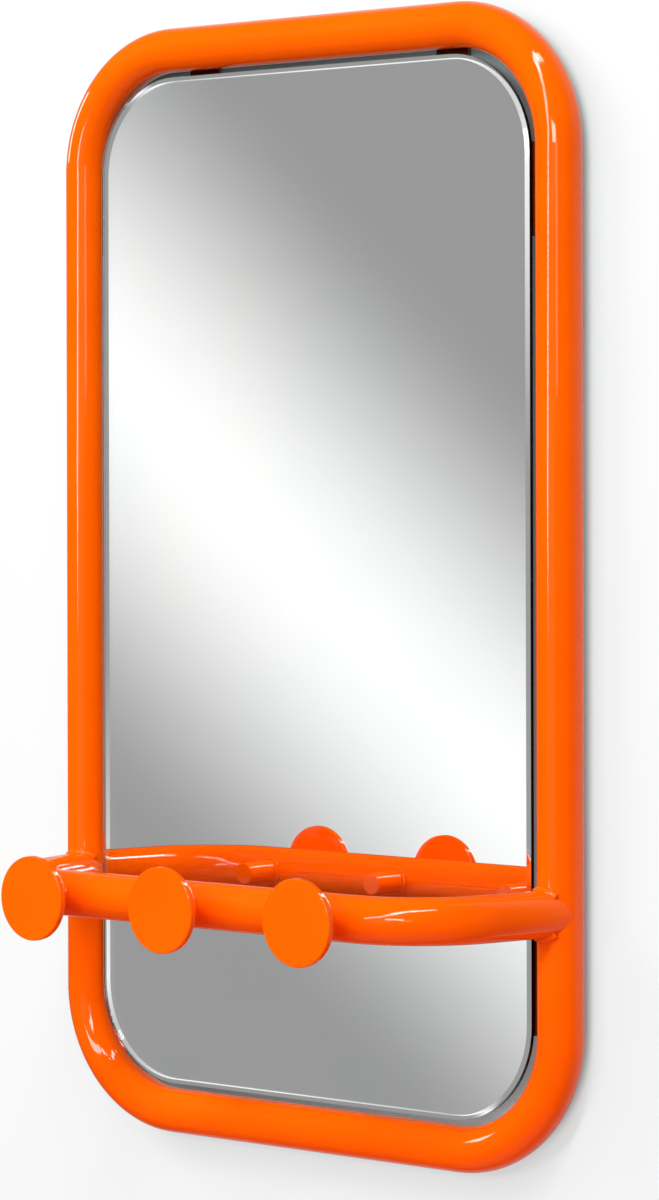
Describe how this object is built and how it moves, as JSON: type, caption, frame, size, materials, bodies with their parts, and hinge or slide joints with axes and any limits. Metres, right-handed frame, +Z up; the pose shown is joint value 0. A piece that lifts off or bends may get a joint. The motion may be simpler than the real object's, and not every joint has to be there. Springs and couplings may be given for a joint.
{
  "type": "wall mirror with hooks",
  "caption": "Wall mirror in a frame of round steel tube with rounded corners, crossed low down by a bent tube rail that carries round-headed coat hooks.",
  "frame": {"origin": "on the wall plane, midway between the wide ends of the two keyholes in the hanger plates", "axes": "+X to the viewer's right, -Y out from the wall towards the viewer, +Z up"},
  "size_m": [0.468, 0.178, 0.8],
  "materials": {
    "painted_steel": "gloss orange powder coat on steel",
    "clear_glass": "clear float glass with a polished bevel",
    "silvering": "silvered",
    "film": "dark grey safety film",
    "foam_tape": "closed-cell foam",
    "buffer_rubber": "matte"
  },
  "bodies": {
    "root": {"frame_top_tube": "painted_steel", "frame_bottom_tube": "painted_steel", "frame_left_stile": "painted_steel", "frame_right_stile": "painted_steel", "frame_bend_top_left": "painted_steel", "frame_bend_top_right": "painted_steel", "frame_bend_bottom_left": "painted_steel", "frame_bend_bottom_right": "painted_steel", "rail_bar": "painted_steel", "rail_arm_left": "painted_steel", "rail_arm_right": "painted_steel", "rail_end_welds": "painted_steel", "hook_peg_left": "painted_steel", "hook_peg_middle": "painted_steel", "hook_peg_right": "painted_steel", "hook_disc_left": "painted_steel", "hook_disc_middle": "painted_steel", "hook_disc_right": "painted_steel", "peg_welds": "painted_steel", "disc_welds": "painted_steel", "mirror_glass": "clear_glass", "mirror_silvering": "silvering", "safety_film": "film", "tape_pads": "foam_tape", "support_plates": "painted_steel", "support_plate_welds": "painted_steel", "hanger_plates": "painted_steel", "hanger_welds": "painted_steel", "wall_buffers": "buffer_rubber"}
  },
  "joints": []
}
